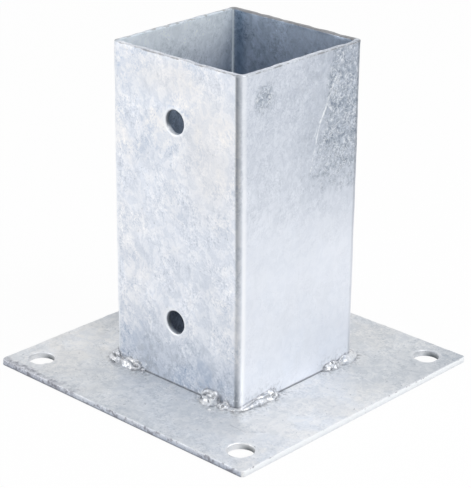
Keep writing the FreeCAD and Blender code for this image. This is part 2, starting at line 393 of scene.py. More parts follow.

# %% [markdown]
# The dip leaves the sleeve with a slow waviness, a thick uneven bead of zinc along the sawn rim, and a
# slight ridge down each fold, where the zinc drained last. All of it is laid on along the normals, and
# the rim's bead only ever reaches up to the height that the CAD model gives it.
#
# The same arrays also know where the finish changes: near an edge, in a fold, in a hole, or where the
# zinc froze rough, and where light and shade are painted on, inside the sleeve, down its folds, in its
# holes and along its foot. We keep these as numbers on the points, called marks, for the material to read.

# %% Marks of the sleeve
SLEEVE_FROST = [            # where crystals grew on the sleeve: centre and radii in mm
    ((38, 25, 130), (12, 30, 36)), ((38, 28, 116), (12, 30, 30)), ((38, -24, 141), (10, 7, 8)),
    ((-38, 6, 58), (12, 26, 34)), ((12, 38, 100), (26, 12, 34)), ((-24, 38, 26), (16, 12, 20))]
SLEEVE_CREAM = [((20, -38, 118), (22, 12, 40)), ((-2, -38, 143), (30, 12, 12))]
FROST_END = (5.3, 100.0)    # y and z, in mm, of a place on the line where the right wall's crystals stop
FROST_WAY = (0.931, -0.365)     # the way from that line to the crystals
FOLD_PAINTED_SHADE = (               # heights in mm, and how strong the painted shade on one side of a fold is there
    [3, 8, 18, 30, 50, 72, 95, 120, 153], [1.0, 0.95, 0.6, 0.5, 0.6, 0.85, 1.0, 1.15, 1.2])
FOLD_PAINTED_HIGHLIGHT = ([3, 60, 80, 110, 153], [1.1, 1.0, 0.85, 0.6, 0.5])     # and how strong the painted highlight on its other side is
RIM_SHADE, RIM_GRIME = np.array([       # how dark and how grimy the sawn rim is on walls 0 to 3
    [0.05, 0.05, 0.62, 0.30], [0.35, 0.2, 1.3, 0.6]])


def sleeve_marks(points, sheet, to_hole, to_rim, hole_way):
    """Numbers for each point of the sleeve that its finish reads."""
    x, y, z = points.T
    around, _, depth = sheet.T
    outer = depth < SHEET / 2
    turned = past_fold(around) / (arc / 2)
    fold_number = np.round((around - fold_middle(0)) / side) % 4
    front, right = fade(y + half, 1.5 * MM), fade(half - x, 1.5 * MM)
    height, across = ramp(z, foot, rim), ramp(y, -half, half)

    # the crystals on the right wall stop at a line that runs up towards its outer top corner
    frost = spots(points, SLEEVE_FROST)
    beyond_line = FROST_WAY[0] * (y - FROST_END[0] * MM) + FROST_WAY[1] * (z - FROST_END[1] * MM)
    beyond_line += 6 * MM * ramp(z, 124 * MM, 140 * MM)
    on_right = (x > half - MM) & (y > -10 * MM)
    frost = np.where(on_right, np.minimum(frost, beyond_line / (5 * MM) + 0.25), frost)

    # right wall: painted shade above and painted light below, most near its foot; front wall: painted shade
    # over the last finger's width above the plate, and a little on its upper part
    tone = right * (0.45 - 1.05 * ramp(height, 0.36, 0.86)
                    + 0.65 * fade(z - foot, 40 * MM) * (1 - 0.4 * across)
                    + 0.45 * fade(1 - height, 0.3) * fade(across, 0.35)
                    - 1.3 * fade(1 - across, 0.65) * ramp(height, 0.40, 0.76)
                    - 0.4 * fade(np.abs(across - 0.55), 0.4) * fade(np.abs(height - 0.68), 0.22))
    tone -= front * (1.3 * fade(z - foot, 36 * MM - 0.15 * x) + 0.5 * np.clip(height - 0.35, 0, 1))

    # inside: painted light near the rim of the left wall and a painted highlight down the back corner, with
    # painted shade over the rest of the inside
    inner_left = fade(x + half - SHEET, 1.5 * MM) * (y < half - SHEET - 1.5 * MM)
    inner_near = (y < SHEET - half + MM) | (x > half - SHEET - MM)
    back_fold = np.where(fold_number == 2, turned, 9)
    back_line = np.exp(-((back_fold - 0.5) / 0.7) ** 2)
    shade = 0.65 + inner_left * (0.08 - 0.73 * fade(rim - z, 44 * MM))
    shade *= (1 - 0.5 * fade(z - foot, 80 * MM)) * (1 - 0.35 * inner_near)
    shade += 0.3 * np.exp(-((back_fold + 2.0) / 1.2) ** 2) + 0.25 * inner_left * fade(half - y, 14 * MM)
    shade *= 1 - 0.95 * back_line

    # the sawn rim: grey along the left wall, dark and grimy along the back one
    wall = np.floor(around / side).astype(int) % 4
    on_rim = fade(to_rim, 0.9 * MM) * (depth > 0.2 * MM)
    shade = np.where(outer, 0, shade) * (1 - on_rim) + on_rim * RIM_SHADE[wall]

    # painted shade on the walls of the bolt holes, lighter towards their lower side
    bore = fade(to_hole, 0.6 * MM) * ramp(depth, 0.3 * MM, 0.7 * MM)
    # beside the welds: painted shade along their toe, and soot further out
    toe, soot = near_welds(around, z - foot, 2)
    # painted shade on one side of each fold and a painted highlight on the other, full on the front fold and
    # half on the rest
    facing = np.where(fold_number == 0, 1.0, 0.5) * outer
    painted_fold_shade, painted_fold_highlight = (np.interp(z / MM, *profile) * facing for profile in (FOLD_PAINTED_SHADE, FOLD_PAINTED_HIGHLIGHT))
    return {
        "edge": np.maximum(0.25 * fade(to_rim, 1.3 * MM), fade(np.abs(to_hole - 0.1 * MM), 0.9 * MM)) * outer,
        "lip": fade(np.hypot(to_rim - 0.2 * MM, depth - 0.1 * MM), 0.8 * MM),
        "grime": on_rim * RIM_GRIME[wall],
        "shade": shade,
        # painted light inside: near the left wall's rim, and a painted highlight down the back corner
        "lit": ~outer * (inner_left * fade(rim - z, 34 * MM) + 1.3 * back_line * (1 - inner_left)),
        "fold": turned - 0.32 * ramp(z, 145 * MM, 65 * MM) * (fold_number == 0),
        "crease": painted_fold_shade,
        "ridge": np.where(outer, painted_fold_highlight, (fold_number == 2) * 1.15),
        "warm": (0.6 - 0.5 * right + 0.5 * front * ramp(height, 0.55, 0.85)) * outer,
        "bore": bore * (1 - np.clip(-0.3 - hole_way, 0, 0.5)),
        # painted shade along the sleeve's foot, where it stands on the plate
        "seam": fade(z - foot, 3 * MM) * outer,
        "toe": toe * outer, "soot": soot * outer,
        "frost": frost,
        "wisps": np.where(right > 0.5, fade(np.clip(0.9 - height, 0, 1), 0.36), 0),
        "cream": front * np.clip(1.5 * spots(points, SLEEVE_CREAM), 0, 1),
        "calm": np.where(outer, right * np.maximum(ramp(height, 0.68, 0.48), 0.62 * (frost < 0.1)), -0.9),
        # inside, the tone adds painted light near the left wall's rim
        "tone": np.where(outer, tone, 0.9 * inner_left * fade(rim - z, 45 * MM))}


# %% [markdown]
# The strip was sheared, punched while it was flat, and folded, so its cut edges are square with a small
# roll of zinc. We net the flat strip, finest at the folds, the holes and the rim, and only then wrap it.

# %% Mesh of the sleeve
CELL = 1.3 * MM             # size of the sleeve's cells
HOLE_BLOCK = 9.1 * MM       # half of the square round a bolt hole that is ringed
SLEEVE_ROLL = 0.45 * MM     # rounding of the sleeve's cut edges
FOOT_ROLL = 0.15 * MM       # rounding where it stands on the plate


def make_sleeve():
    """The sleeve as one closed mesh."""
    stops = [wall * side + place for wall in range(4)
             for place in (0, flat - HOLE_BLOCK, flat + HOLE_BLOCK, 2 * flat)]
    in_folds = fold_middle(np.arange(4)[:, None]) + np.linspace(-0.5, 0.5, 13) * arc
    around = np.concatenate([ladder([*stops, 4 * side], CELL), in_folds.ravel()])
    around = np.unique(around.round(7))
    around = around[around < 4 * side - 1e-6]
    low, high = (height - foot for height in bolt_heights)
    top = rim - foot - SLEEVE_ROLL
    stops = [5 * MM, low - HOLE_BLOCK, low + HOLE_BLOCK, high - HOLE_BLOCK, high + HOLE_BLOCK, top - 3 * MM]
    up = np.concatenate([ladder([FOOT_ROLL, MM, 5 * MM], 0.7 * MM)[:-1], ladder(stops, CELL),
                         top - np.linspace(3, 0, 8)[1:] ** 1.3 / 3 ** 0.3 * MM])
    holes = [(wall * side + flat, height, bolt_radius + SLEEVE_ROLL)
             for wall in (0, 2) for height in (low, high)]
    net, cells, loops = punched_net(around, up, holes, HOLE_BLOCK, wraps=True)

    loops = [(loop, way, SLEEVE_ROLL) for loop, way in loops]
    for height, way, roll in ((top, 1.0, SLEEVE_ROLL), (FOOT_ROLL, -1.0, FOOT_ROLL)):
        row = np.flatnonzero(np.isclose(net[:, 1], height))
        row = row[np.argsort(-way * net[row, 0])]
        loops.append((row, np.tile([0.0, way], (len(row), 1)), roll))
    sheet, faces = thick_sheet(net, cells, loops, SHEET)

    plan, _ = section(sheet[:, 0], sheet[:, 2])
    points = np.column_stack([plan, foot + sheet[:, 1]])
    from_hole = np.array([np.linalg.norm(sheet[:, :2] - centre, axis=1) for *centre, _ in holes])
    to_hole = from_hole.min(axis=0) - bolt_radius - SLEEVE_ROLL
    hole_height = np.array([height for _, height, _ in holes])[from_hole.argmin(axis=0)]
    hole_way = (sheet[:, 1] - hole_height) / np.maximum(from_hole.min(axis=0), MM)
    to_rim = rim - points[:, 2]

    normals = outward(points, faces)
    marks = sleeve_marks(points, sheet, to_hole, to_rim, hole_way)
    zinc = laid_on(points, [
        (1, 0, 0.10, 13, 1), (1, 0, 0.04, 4, 2),
        (fade(to_rim, 2.0 * MM), 0, 0.16, 2.6, 3), (fade(to_rim, 2.0 * MM), 0, 0.14, 6, 4),
        (fade(to_hole, 1.6 * MM), 0.10, 0.10, 2.2, 5), (marks["soot"], 0, 0.18, 1.6, 7)])
    zinc += 0.12 * MM * fade(np.abs(past_fold(sheet[:, 0])), 2.2 * MM) * (sheet[:, 2] < SHEET / 2)
    zinc *= ramp(points[:, 2], foot, foot + MM)
    sag = laid_on(points, [(fade(to_rim, 3 * MM), 0.13, 0.16, 5, 6)])
    points += normals * zinc[:, None]
    points[:, 2] = np.clip(points[:, 2] - sag, foot, rim)
    return new_piece("zinc_sleeve", points, faces, marks)


sleeve = make_sleeve()

# %% [markdown]
# ## The base plate
#
# The plate was sheared square, its corners knocked off by hand, and punched. The same net and the same
# thickening make it. Near one edge the zinc froze with frost-like crystals, and it piled up where it
# ran out of the hole nearest to the sleeve's front corner.

# %% Mesh of the plate
PLATE_CELL = 1.5 * MM       # size of the plate's cells
ANCHOR_BLOCK = 9.0 * MM     # half of the square round an anchor hole that is ringed
PLATE_ROLL = 0.45 * MM
PILE = (60.0 * MM, -54.5 * MM)      # where zinc piled up beside a hole


def rounded(plan):
    """Move a square's points so that its corners are round: within a corner's square of the radius, a
    point q goes to q * max(q) / |q|, which turns squares about the corner's centre into circles."""
    core = plate_half - PLATE_ROLL - PLATE_CORNER
    away = np.clip(np.abs(plan) - core, 0, None)
    length = np.linalg.norm(away, axis=1, keepdims=True)
    away = away * np.max(away, axis=1, keepdims=True) / np.where(length > 0, length, 1)
    return np.sign(plan) * (np.minimum(np.abs(plan), core) + away)


PLATE_TONES = [             # how pale the plate's top is: x and y in mm, and the tone there
    ((-68, -68), 0.65), ((-68, -40), 0.95), ((-36, -64), 0.10), ((-60, 0), -0.05), ((-50, 60), 0.10),
    ((0, -54), 0.00), ((20, -70), -0.30), ((44, -62), 0.15), ((68, -66), 0.60), ((62, -25), 1.00),
    ((45, -22), 0.35), ((68, 8), 0.75), ((71, 32), -0.55), ((56, 46), 0.00), ((71, 66), -0.90),
    ((43, 65), 0.15), ((28, 61), 0.20), ((0, 60), 0.10)]


def plate_tone(x, y):
    """A mean of the tones given on the plate, in which each counts as exp(-(distance / 18 mm)^2)."""
    places = np.array([place for place, _ in PLATE_TONES]) * MM
    away = np.hypot(x[:, None] - places[:, 0], y[:, None] - places[:, 1])
    weight = np.exp(-(away / (18 * MM)) ** 2) + 1e-6
    return weight @ np.array([tone for _, tone in PLATE_TONES]) / weight.sum(axis=1)


def plate_marks(points, sheet, thick, to_hole, to_edge):
    """Numbers for each point of the plate that its finish reads."""
    x, y, _ = points.T
    depth = sheet[:, 2]
    top, from_foot, lower = depth < 0.5 * MM, thick - depth, ramp(depth / thick, 0.4, 0.7)
    side_face, on_right = fade(to_edge, 0.4 * MM) * ramp(depth, 0, 0.4 * MM), x > plate_half - MM
    dull = fade(y + plate_half, 10 * MM) * fade(x - 5 * MM, 40 * MM)

    # painted shade inside the holes on their far side, and a painted highlight on their near side
    across = (x - np.sign(x) * anchor_reach) + (y - np.sign(y) * anchor_reach)
    across /= 1.414 * (anchor_radius + PLATE_ROLL)
    inside = (to_hole < 0.6 * MM) * ramp(depth, 0.3 * MM, 0.7 * MM)
    pale = inside * np.clip(-1.5 * across, 0, 0.5)

    # worn lines along the plate's upper edges; on the side faces other than the right one, dark flecks that
    # thicken into a painted shade at their foot
    worn_side = np.where((x < MM - plate_half) | (y < MM - plate_half), 0.85, 0.75)
    rim_line = worn_side * fade(np.abs(to_edge - 0.1 * MM), 0.9 * MM) * top
    rim_line = np.maximum(rim_line, side_face * ~on_right * (0.38 + 0.8 * fade(from_foot, 1.1 * MM)))
    around, away = seam_place(x, y)
    # beside the welds: painted shade along their toe, and soot further out
    toe, soot = near_welds(around, np.abs(away), 3)
    # on the side faces: painted shade on all but the right one, darkest at their foot, and painted light on
    # the right one
    return {
        "shade": side_face * np.where(on_right, 0.3 * lower, 0.45 + 0.12 * x / plate_half + 0.25 * lower),
        "edge": np.maximum(np.maximum(fade(to_edge, 1.2 * MM), fade(to_hole, 1.2 * MM)) * top, 2.5 * pale),
        "lip": np.maximum(rim_line, 0.8 * fade(np.abs(to_hole - 0.1 * MM), 0.8 * MM) * top),
        "bore": inside * np.clip(1.6 * across + 0.2, 0, 1),
        # painted shade round the sleeve's foot, and along the foot of the side faces other than the right one
        "seam": np.maximum(fade(np.abs(away), 3 * MM) * top,
                           ~on_right * fade(to_edge, 4 * MM) * fade(from_foot, 4 * MM)),
        "toe": toe * top, "soot": soot * top,
        "clean": side_face * on_right * (1 - 0.5 * lower),
        "frost": fade(y + plate_half, 7 * MM) * fade(x + plate_half, 75 * MM),
        "tone": (plate_tone(x, y) - 0.4 * dull) * (1 - side_face) + 0.5 * side_face * on_right}


def make_plate():
    """The base plate as one closed mesh."""
    edge = plate_half - PLATE_ROLL
    inner = [-anchor_reach - ANCHOR_BLOCK, -anchor_reach + ANCHOR_BLOCK,
             anchor_reach - ANCHOR_BLOCK, anchor_reach + ANCHOR_BLOCK]
    places = ladder([-edge + PLATE_CORNER, *inner, edge - PLATE_CORNER], PLATE_CELL)
    corner = np.linspace(0, PLATE_CORNER, 5)[1:]
    places = np.concatenate([places[0] - corner[::-1], places, places[-1] + corner])
    holes = [(x, y, anchor_radius + PLATE_ROLL) for x in (-anchor_reach, anchor_reach)
             for y in (-anchor_reach, anchor_reach)]
    net, cells, loops = punched_net(places, places, holes, ANCHOR_BLOCK, wraps=False)

    outline = np.flatnonzero(np.isclose(np.abs(net).max(axis=1), edge))
    outline = outline[np.argsort(np.arctan2(net[outline, 1], net[outline, 0]))]
    net = rounded(net)
    tangent = np.roll(net[outline], -1, axis=0) - np.roll(net[outline], 1, axis=0)
    way = np.stack([tangent[:, 1], -tangent[:, 0]], axis=-1)
    way /= np.linalg.norm(way, axis=1, keepdims=True)
    thick = plate_top - plate_low.z
    loops = [(loop, into, PLATE_ROLL) for loop, into in [*loops, (outline, way)]]
    sheet, faces = thick_sheet(net, cells, loops, thick)

    points = np.column_stack([sheet[:, :2], plate_top - sheet[:, 2]])
    to_hole = np.min([np.hypot(sheet[:, 0] - x, sheet[:, 1] - y) - radius for x, y, radius in holes], axis=0)
    to_edge = plate_half - np.abs(sheet[:, :2]).max(axis=1)
    _, away = seam_place(*points[:, :2].T)

    normals = outward(points, faces)
    on_top = np.clip(1 - sheet[:, 2] / thick, 0, 1)
    marks = plate_marks(points, sheet, thick, to_hole, to_edge)
    on_pile = fade(np.hypot(sheet[:, 0] - PILE[0], sheet[:, 1] - PILE[1]), 5 * MM) * (sheet[:, 2] < 0.5 * MM)
    zinc = laid_on(points, [
        (1, 0, 0.08, 14, 11), (1, 0, 0.04, 4.5, 12), (fade(to_hole, 2.2 * MM), 0.12, 0.30, 2.8, 13),
        (on_pile, 0.45, 0.5, 1.7, 14), (marks["frost"], 0, 0.22, 2.0, 15),
        (marks["soot"], 0, 0.22, 1.6, 17), (fade(to_edge, 2.5 * MM), -0.10, -0.10, 3, 16)])
    zinc *= np.clip(np.abs(away) / MM - 0.2, 0, 1) * on_top
    points += normals * zinc[:, None]
    points[:, :2] = np.clip(points[:, :2], -plate_half, plate_half)
    points[:, 2] = np.maximum(points[:, 2], plate_low.z)
    return new_piece("zinc_plate", points, faces, marks)


plate = make_plate()

# %% [markdown]
# ## Beads
#
# Now the rows of drops become skins. A section of a bead is a closed ring round the seam, and its
# radius at each angle comes from the bead's height and reach there. A valley runs along each bead, as
# between two laps of molten metal, and gas left pits. Small drops that splashed off lie on the plate.

# %% Bead skins
BEAD_STEP = 0.2 * MM        # distance between a bead's sections
BEAD_RING = 56              # points round a section
BEAD_POWER = 2.1            # 2 makes a bead's section an ellipse, and more makes it squarer
VALLEY, VALLEY_WIDTH = math.radians(54), 0.20       # where the valley runs round a section


def tube(rings, first_tip, last_tip):
    """Close a stack of rings (sections, points, 3) into a skin with a point at each end."""
    sections, count, _ = rings.shape
    index = np.arange(sections * count).reshape(sections, count)
    after = np.roll(index, -1, axis=1)
    walls = np.stack([index[:-1], index[1:], after[1:], after[:-1]], axis=-1).reshape(-1, 4)
    tips = sections * count + np.arange(2)
    start = np.stack([np.full(count, tips[0]), index[0], after[0], np.full(count, tips[0])], axis=-1)
    end = np.stack([np.full(count, tips[1]), after[-1], index[-1], np.full(count, tips[1])], axis=-1)
    points = np.concatenate([rings.reshape(-1, 3), [first_tip], [last_tip]])
    return points, np.concatenate([walls, start, end])


def bead(corner, drops, smooth, seed):
    """Skin of a bead round one corner of the sleeve, and how dark it is painted at each point: in its pits
    and valley, and as painted shade along its toe.

    At angle a above the plate, a bead of height h and reach b stands
    r = (|cos a / b| ** p + |sin a / h| ** p) ** (-1 / p) from the seam. The valley takes
    v * exp(-((a - a0) / w) ** 2) of it, and lumps drawn out along the seam make it uneven. Behind the
    steel's faces the bead shrinks to a thin core, so that it is closed.
    """
    start = min(place - length for place, length, *_ in drops) * MM
    stop = max(place + length for place, length, *_ in drops) * MM
    along = np.linspace(start, stop, math.ceil((stop - start) / BEAD_STEP))[1:-1]
    height, reach = swelling(along, drops, 2)[:, None], swelling(along, drops, 3)[:, None]
    angle = np.linspace(0, 2 * math.pi, BEAD_RING, endpoint=False) - math.radians(24)
    radius = np.abs(np.cos(angle) / reach) ** BEAD_POWER + np.abs(np.sin(angle) / height) ** BEAD_POWER
    radius = radius ** (-1 / BEAD_POWER)

    local = np.stack(np.broadcast_arrays(
        0.4 * along[:, None], radius * np.cos(angle), radius * np.sin(angle)), axis=-1)
    line = np.column_stack([along, np.zeros((len(along), 2))])

    def uneven(size, number, places=local):
        """Lumps of this size in mm, drawn out along the seam."""
        return lumps(places.reshape(-1, 3), size * MM, seed + number).reshape(radius.shape)

    wander, depth = (lumps(line, size * MM, seed + number)[:, None] for size, number in ((5, 0), (4, 3)))
    valley = np.exp(-((angle - VALLEY - 0.45 * wander) / VALLEY_WIDTH) ** 2)
    valley *= np.clip(0.45 + 1.2 * depth, 0, 1)
    past = np.maximum(smooth[0] * MM - along, along - smooth[1] * MM)[:, None]
    crust = 0.35 + 0.65 * (1 - fade(past, 2 * MM))
    long_lumps = uneven(1.5, 1) + 0.6 * uneven(0.7, 4) + 0.4 * uneven(0.42, 6)
    pit = ramp(uneven(1.3, 2, local * [2.5, 1, 1] + 0.01), 0.24, 0.54) * crust
    rough = 1 + 0.18 * crust * long_lumps - 0.22 * valley - 0.20 * pit

    showing = fade(np.clip(np.abs(angle - math.pi / 4) - math.radians(60), 0, None), math.radians(18))
    core = 0.7 * MM * np.minimum(1, radius / (1.5 * MM))
    toe_angle = np.minimum(np.abs(angle), np.abs(angle - math.pi / 2))
    toe = np.clip(1 - toe_angle * radius / (0.7 * MM), 0, 1)
    radius = core * (1 - showing) + radius * rough * showing
    # dark paint in the pits and the valley, and painted shade along the toe
    hollow = np.maximum(0.9 * pit, 0.7 * valley * ramp(height, 0, 2 * MM))
    hollow = np.maximum(hollow, toe * np.clip(0.35 + 0.8 * uneven(2, 5), 0, 1))

    plan, way = section(fold_middle(corner) + along, np.zeros(len(along)))
    seam_line = np.column_stack([plan, np.full(len(along), plate_top)])
    out = np.column_stack([way, np.zeros(len(along))])
    spoke = np.cos(angle)[:, None] * out[:, None, :] + np.sin(angle)[:, None] * np.array([0, 0, 1.0])
    points, faces = tube(seam_line[:, None, :] + spoke * radius[..., None], seam_line[0], seam_line[-1])
    return points, faces, np.append(hollow.ravel(), [0, 0])


SPLASHES = {                # (place along the seam, distance from the wall, radius) in mm
    "weld_front_right": [(-9.4, 7.4, 0.8), (-22.2, 8.1, 0.5), (-33.6, 4.6, 0.4), (-20.5, 3.0, 0.5),
                         (9.5, 8.0, 0.35), (23.6, 2.2, 0.55)],
    "weld_back_right": [(-21.5, 2.2, 0.5), (-13.0, 6.0, 0.45), (-3.0, 7.5, 0.4), (9.0, 6.5, 0.5)],
    "weld_back_left": [(-6.0, 6.0, 0.5), (7.0, 7.0, 0.4), (15.0, 5.0, 0.35)],
    "weld_front_left": [(18.6, 2.2, 0.6), (-9.0, 6.4, 0.45), (24.0, 5.5, 0.35)],
}


def splash(corner, drops):
    """Small frozen drops on the plate.

    Each is an egg, sunk by half of its height: rings at heights cos(t), with radii sin(t).
    """
    skins = []
    turn = np.linspace(0, math.pi, 9)[1:-1, None]
    angle = np.linspace(0, 2 * math.pi, 14, endpoint=False)
    ring = np.stack(np.broadcast_arrays(np.sin(turn) * np.cos(angle), np.sin(turn) * np.sin(angle),
                                        np.cos(turn)), axis=-1)
    for place, away, size in np.array(drops) * MM:
        plan, way = section(np.array([fold_middle(corner) + place]), np.array([0.0]))
        centre = np.append(plan[0] + way[0] * away, plate_top + 0.1 * size)
        scale = size * np.array([1.0, 1.0, 0.8])
        skins.append(tube(centre + ring * scale, centre + [0, 0, scale[2]], centre - [0, 0, scale[2]]))
    return skins


# %% [markdown]
# A weld is its bead and whatever flew off it. The drops stay apart as closed shapes of their own, half
# sunk in the plate, since on the real part they stick to it and do not run into the bead.

# %% Mesh of each weld
def make_weld(name):
    """One weld: its bead and the drops that splashed from it."""
    corner, smooth, drops = WELDS[name]
    points, faces, hollow = bead(corner, drops, smooth, seed=30 + 5 * corner)
    for more_points, more_faces in splash(corner, SPLASHES[name]):
        faces = np.concatenate([faces, more_faces + len(points)])
        points = np.concatenate([points, more_points])
        hollow = np.concatenate([hollow, np.zeros(len(more_points))])
    return new_piece("zinc_" + name, points, faces, {"hollow": hollow})


welds = {name: make_weld(name) for name in WELDS}

# %% [markdown]
# ## Nodes, said shortly
#
# A material is a web of nodes. A wire is one output in that web, and arithmetic on wires adds the Math
# nodes for it, so that a material below reads like the formula that it is.

# %% Node helpers
class Wire:
    """One output of a node, which arithmetic turns into Math nodes."""

    def __init__(self, tree, socket):
        self.tree, self.socket = tree, socket

    def to(self, socket):
        """Lead this wire to an input."""
        self.tree.links.new(self.socket, socket)

    def math(self, operation, first, second=0.0, clamp=False):
        """Add a Math node, and return its output."""
        return add(self.tree, "Math", {0: first, 1: second}, operation=operation, use_clamp=clamp)[0]

    def __add__(self, other):
        return self.math("ADD", self, other)

    def __sub__(self, other):
        return self.math("SUBTRACT", self, other)

    def __rsub__(self, other):
        return self.math("SUBTRACT", other, self)

    def __mul__(self, other):
        return self.math("MULTIPLY", self, other)

    def __truediv__(self, other):
        return self.math("DIVIDE", self, other)

    def __rtruediv__(self, other):
        return self.math("DIVIDE", other, self)

    def __abs__(self):
        return self.math("ABSOLUTE", self)

    def held(self):
        """The same value, held between 0 and 1."""
        return self.math("ADD", self, clamp=True)

    def at_least(self, other):
        """The larger of this wire and another."""
        return self.math("MAXIMUM", self, other)


def add(tree, kind, sockets=None, **settings):
    """Add a node and return its outputs, as wires by number and by name.

    The sockets map an input's name or number to a value or to a wire.
    """
    made = tree.nodes.new("ShaderNode" + kind)
    for setting, value in settings.items():
        setattr(made, setting, value)
    for socket, value in (sockets or {}).items():
        if isinstance(value, Wire):
            value.to(made.inputs[socket])
        else:
            made.inputs[socket].default_value = value
    return {key: Wire(tree, socket) for number, socket in enumerate(made.outputs)
            for key in (number, socket.name)}


def vector(operation, first, second):
    """A Vector Math node. The answer of a distance or a dot product is a number, its second output."""
    tree = (first if isinstance(first, Wire) else second).tree
    sockets = {0: first, "Scale" if operation == "SCALE" else 1: second}
    outputs = add(tree, "VectorMath", sockets, operation=operation)
    return outputs[1 if operation in ("DISTANCE", "DOT_PRODUCT") else 0]


def remap(value, low, high, to_low=0.0, to_high=1.0):
    """Stretch low..high to to_low..to_high with soft ends."""
    sockets = {"Value": value, "From Min": low, "From Max": high, "To Min": to_low, "To Max": to_high}
    return add(value.tree, "MapRange", sockets, interpolation_type="SMOOTHSTEP")[0]


def mix(share, first, second, **settings):
    """A colour between two others."""
    return add(share.tree, "Mix", {0: share, 6: first, 7: second}, data_type="RGBA", **settings)[2]


def noise(place, size, detail=3.0, roughness=0.55, distortion=0.0):
    """Noise whose lumps are about this size, from 0 to 1."""
    sockets = {"Vector": place, "Scale": 1 / size, "Detail": detail, "Roughness": roughness,
               "Distortion": distortion}
    return add(place.tree, "TexNoise", sockets)["Fac"]


def mark(tree, name):
    """Numbers that the mesh carries under this name."""
    return add(tree, "Attribute", attribute_name=name)["Fac"]


def paint(color, *layers, blend="MIX"):
    """Lay tints over a colour, one after the other, each by mask * strength.

    A layer is (mask or the name of a mark, strength, tint).
    """
    for mask, strength, tint in layers:
        mask = mark(color.tree, mask) if isinstance(mask, str) else mask
        color = mix(mask * strength, color, (*tint, 1), blend_type=blend)
    return color


def new_group(name, inputs, outputs):
    """An empty shader group: its tree, its inputs as wires, and the sockets of its outputs.

    An input's default of three numbers makes it a vector, and one of four a colour. An output is a
    number unless it is called Color.
    """
    tree = bpy.data.node_groups.new(name, "ShaderNodeTree")
    kinds = {3: "NodeSocketVector", 4: "NodeSocketColor"}
    for label, default in inputs.items():
        kind = kinds[len(default)] if isinstance(default, tuple) else "NodeSocketFloat"
        tree.interface.new_socket(label, in_out="INPUT", socket_type=kind).default_value = default
    for label in outputs:
        kind = "NodeSocketColor" if label == "Color" else "NodeSocketFloat"
        tree.interface.new_socket(label, in_out="OUTPUT", socket_type=kind)
    given = {socket.name: Wire(tree, socket) for socket in tree.nodes.new("NodeGroupInput").outputs}
    return tree, given, tree.nodes.new("NodeGroupOutput").inputs


def use(group, position, **sockets):
    """Place a group that reads this position, and return its outputs."""
    return add(position.tree, "Group", {"Position": position, **sockets}, node_tree=group)


# %% [markdown]
# ## Zinc
#
# Fresh hot-dip zinc isn't one grey. It is cloudy over a finger's width, mottled over a few millimetres
# where crystals met, veined with thin darker wisps, and flecked below that. Noises of those sizes, added
# up, make a level that picks between a pale and a dull tint. A slow noise of its own warms some of it.

# %% Group of the zinc's skin
DRAWN = (0.31, -0.31, -0.9)       # the way the zinc ran off; patterns are drawn out along it


def bent_position(position, size, amount):
    """Push a position about by a noise, so that the patterns read from it look drawn out."""
    push = add(position.tree, "TexNoise", {"Vector": position, "Scale": 1 / size, "Detail": 2.0})["Color"]
    push = vector("SCALE", vector("SUBTRACT", push, (0.5, 0.5, 0.5)), amount)
    return vector("ADD", position, push)


def veins(place, size, width):
    """Thin lines where a noise crosses its middle: 1 on the line, 0 a little beside it."""
    return remap(abs(noise(place, size, 3.0, 0.6, 0.8) - 0.5), 0.0, width, 1.0, 0.0)


def zinc_skin():
    """Group: cloudy, mottled, veined and flecked zinc."""
    tree, given, out = new_group("zinc_skin", {
        "Position": (0, 0, 0), "Pale": (0.8, 0.82, 0.86, 1), "Dull": (0.6, 0.64, 0.7, 1),
        "Warm": (0.8, 0.78, 0.74, 1), "Tone": 0.0, "Contrast": 1.0, "Warmth": 0.5, "Specks": 0.5},
        ("Color", "Level", "Height"))
    position = given["Position"]
    run = vector("SCALE", DRAWN, vector("DOT_PRODUCT", position, DRAWN) * -0.25)
    bent = bent_position(vector("ADD", position, run), 6 * MM, 5 * MM)
    clouds = noise(bent, 12 * MM, 3.0, 0.6)
    busy = remap(noise(position, 13 * MM), 0.42, 0.58, 0.35, 1.0)
    patch = remap(noise(bent, 3.6 * MM, 4.0, 0.55, 0.6), 0.43, 0.57)
    mottle = noise(bent, 2.4 * MM, 4.0, 0.62, 0.5)
    flecks = noise(position, 0.9 * MM, 2.0, 0.6)
    wisps = veins(bent, 3.4 * MM, 0.03) * busy
    fine = (mottle - 0.5) * 2.5 + (flecks - 0.5) * 2.4 - wisps * 0.6
    level = (clouds - 0.5) * 1.8 + (patch - 0.5) * 0.48 + fine * busy
    level = level * given["Contrast"] + 0.5 + given["Tone"]
    warm = remap(noise(position, 20 * MM), 0.44, 0.58).at_least(patch * 0.6) * given["Warmth"]
    color = mix(level, given["Dull"], mix(warm, given["Pale"], given["Warm"]), clamp_factor=False)
    specks = remap(noise(position, 1.7 * MM, 3.0, 0.7), 0.65, 0.71) * given["Specks"]
    paint(color, (specks, 0.8, (0.26, 0.28, 0.32))).to(out["Color"])
    level.to(out["Level"])
    (flecks * 0.5 + mottle).to(out["Height"])
    return tree


skin_group = zinc_skin()

# %% [markdown]
# Where zinc cools slowly it freezes as frost does, in small sharp grains with bright seams between them.
# A patch of it has a torn outline, which is a smooth mark on the mesh cut off at an uneven level. Wear
# on the edges is torn in the same way. Drips and scratches are lines from one point to another.

